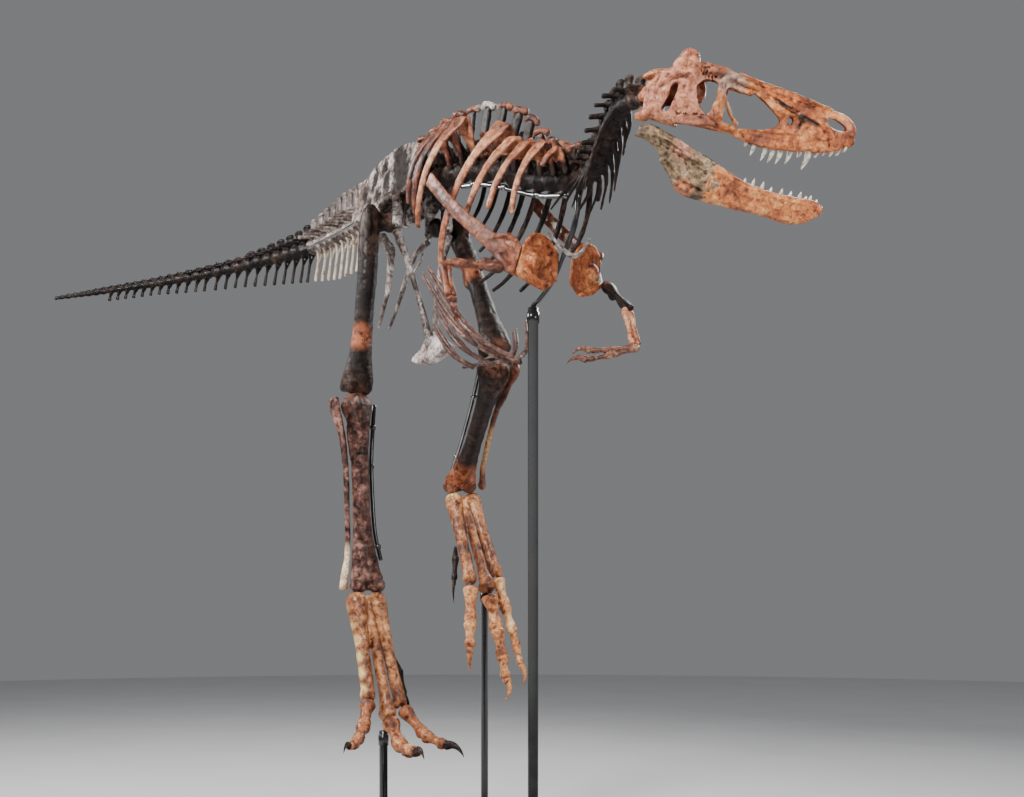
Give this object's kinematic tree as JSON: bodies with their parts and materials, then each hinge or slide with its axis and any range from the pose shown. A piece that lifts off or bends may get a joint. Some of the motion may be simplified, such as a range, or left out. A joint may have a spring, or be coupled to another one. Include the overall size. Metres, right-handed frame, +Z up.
{
  "type": "mounted dinosaur skeleton",
  "caption": "Life-size still skeleton of a young tyrannosaur in a walking pose with open jaws, bones parted by body region, carried by black steel rods and bars on a flat base.",
  "frame": {"origin": "middle of the underside of the base plate", "axes": "+X the way the hips face, +Y the animal's left, +Z up"},
  "size_m": [5.4756, 1.5438, 3.0575],
  "materials": {
    "fossil_orange": "varnished, semi-gloss orange-brown fossil bone",
    "fossil_tan": "varnished, semi-gloss tan fossil bone",
    "fossil_dark": "varnished, glossy near-black fossil bone",
    "fossil_pale": "mottled white and grey fossil bone, satin",
    "steel_black": "gloss black paint on steel"
  },
  "bodies": {
    "root": {"skull": "fossil_orange", "jaw_right": "fossil_orange", "jaw_left": "fossil_orange", "rib_cage_right": "fossil_orange", "shoulder_right": "fossil_orange", "shoulder_left": "fossil_orange", "humerus_right": "fossil_tan", "forearm_right": "fossil_tan", "hand_right": "fossil_tan", "metatarsus_right": "fossil_tan", "metatarsus_left": "fossil_tan", "toe_2_right": "fossil_tan", "toe_2_left": "fossil_tan", "toe_3_right": "fossil_tan", "toe_3_left": "fossil_tan", "toe_4_right": "fossil_tan", "toe_4_left": "fossil_tan", "neck": "fossil_dark", "back": "fossil_dark", "sacrum": "fossil_dark", "tail_middle": "fossil_dark", "tail_tip": "fossil_dark", "rib_cage_left": "fossil_dark", "gastralia": "fossil_dark", "humerus_left": "fossil_dark", "forearm_left": "fossil_dark", "hand_left": "fossil_dark", "femur_right": "fossil_dark", "femur_left": "fossil_dark", "tibia_right": "fossil_dark", "tibia_left": "fossil_dark", "fibula_right": "fossil_dark", "fibula_left": "fossil_dark", "toe_1_right": "fossil_dark", "toe_1_left": "fossil_dark", "ilium_right": "fossil_pale", "ilium_left": "fossil_pale", "ischium_right": "fossil_pale", "ischium_left": "fossil_pale", "pubis": "fossil_pale", "tail_base": "fossil_pale", "furcula": "fossil_pale", "stand_base": "steel_black", "stand_post_chest": "steel_black", "stand_post_left_foot": "steel_black", "stand_post_right_foot": "steel_black", "stand_chest_tube": "steel_black", "stand_spine_tube": "steel_black", "stand_shin_bar_right": "steel_black", "stand_shin_bar_left": "steel_black", "stand_tail_rod": "steel_black"}
  },
  "joints": []
}
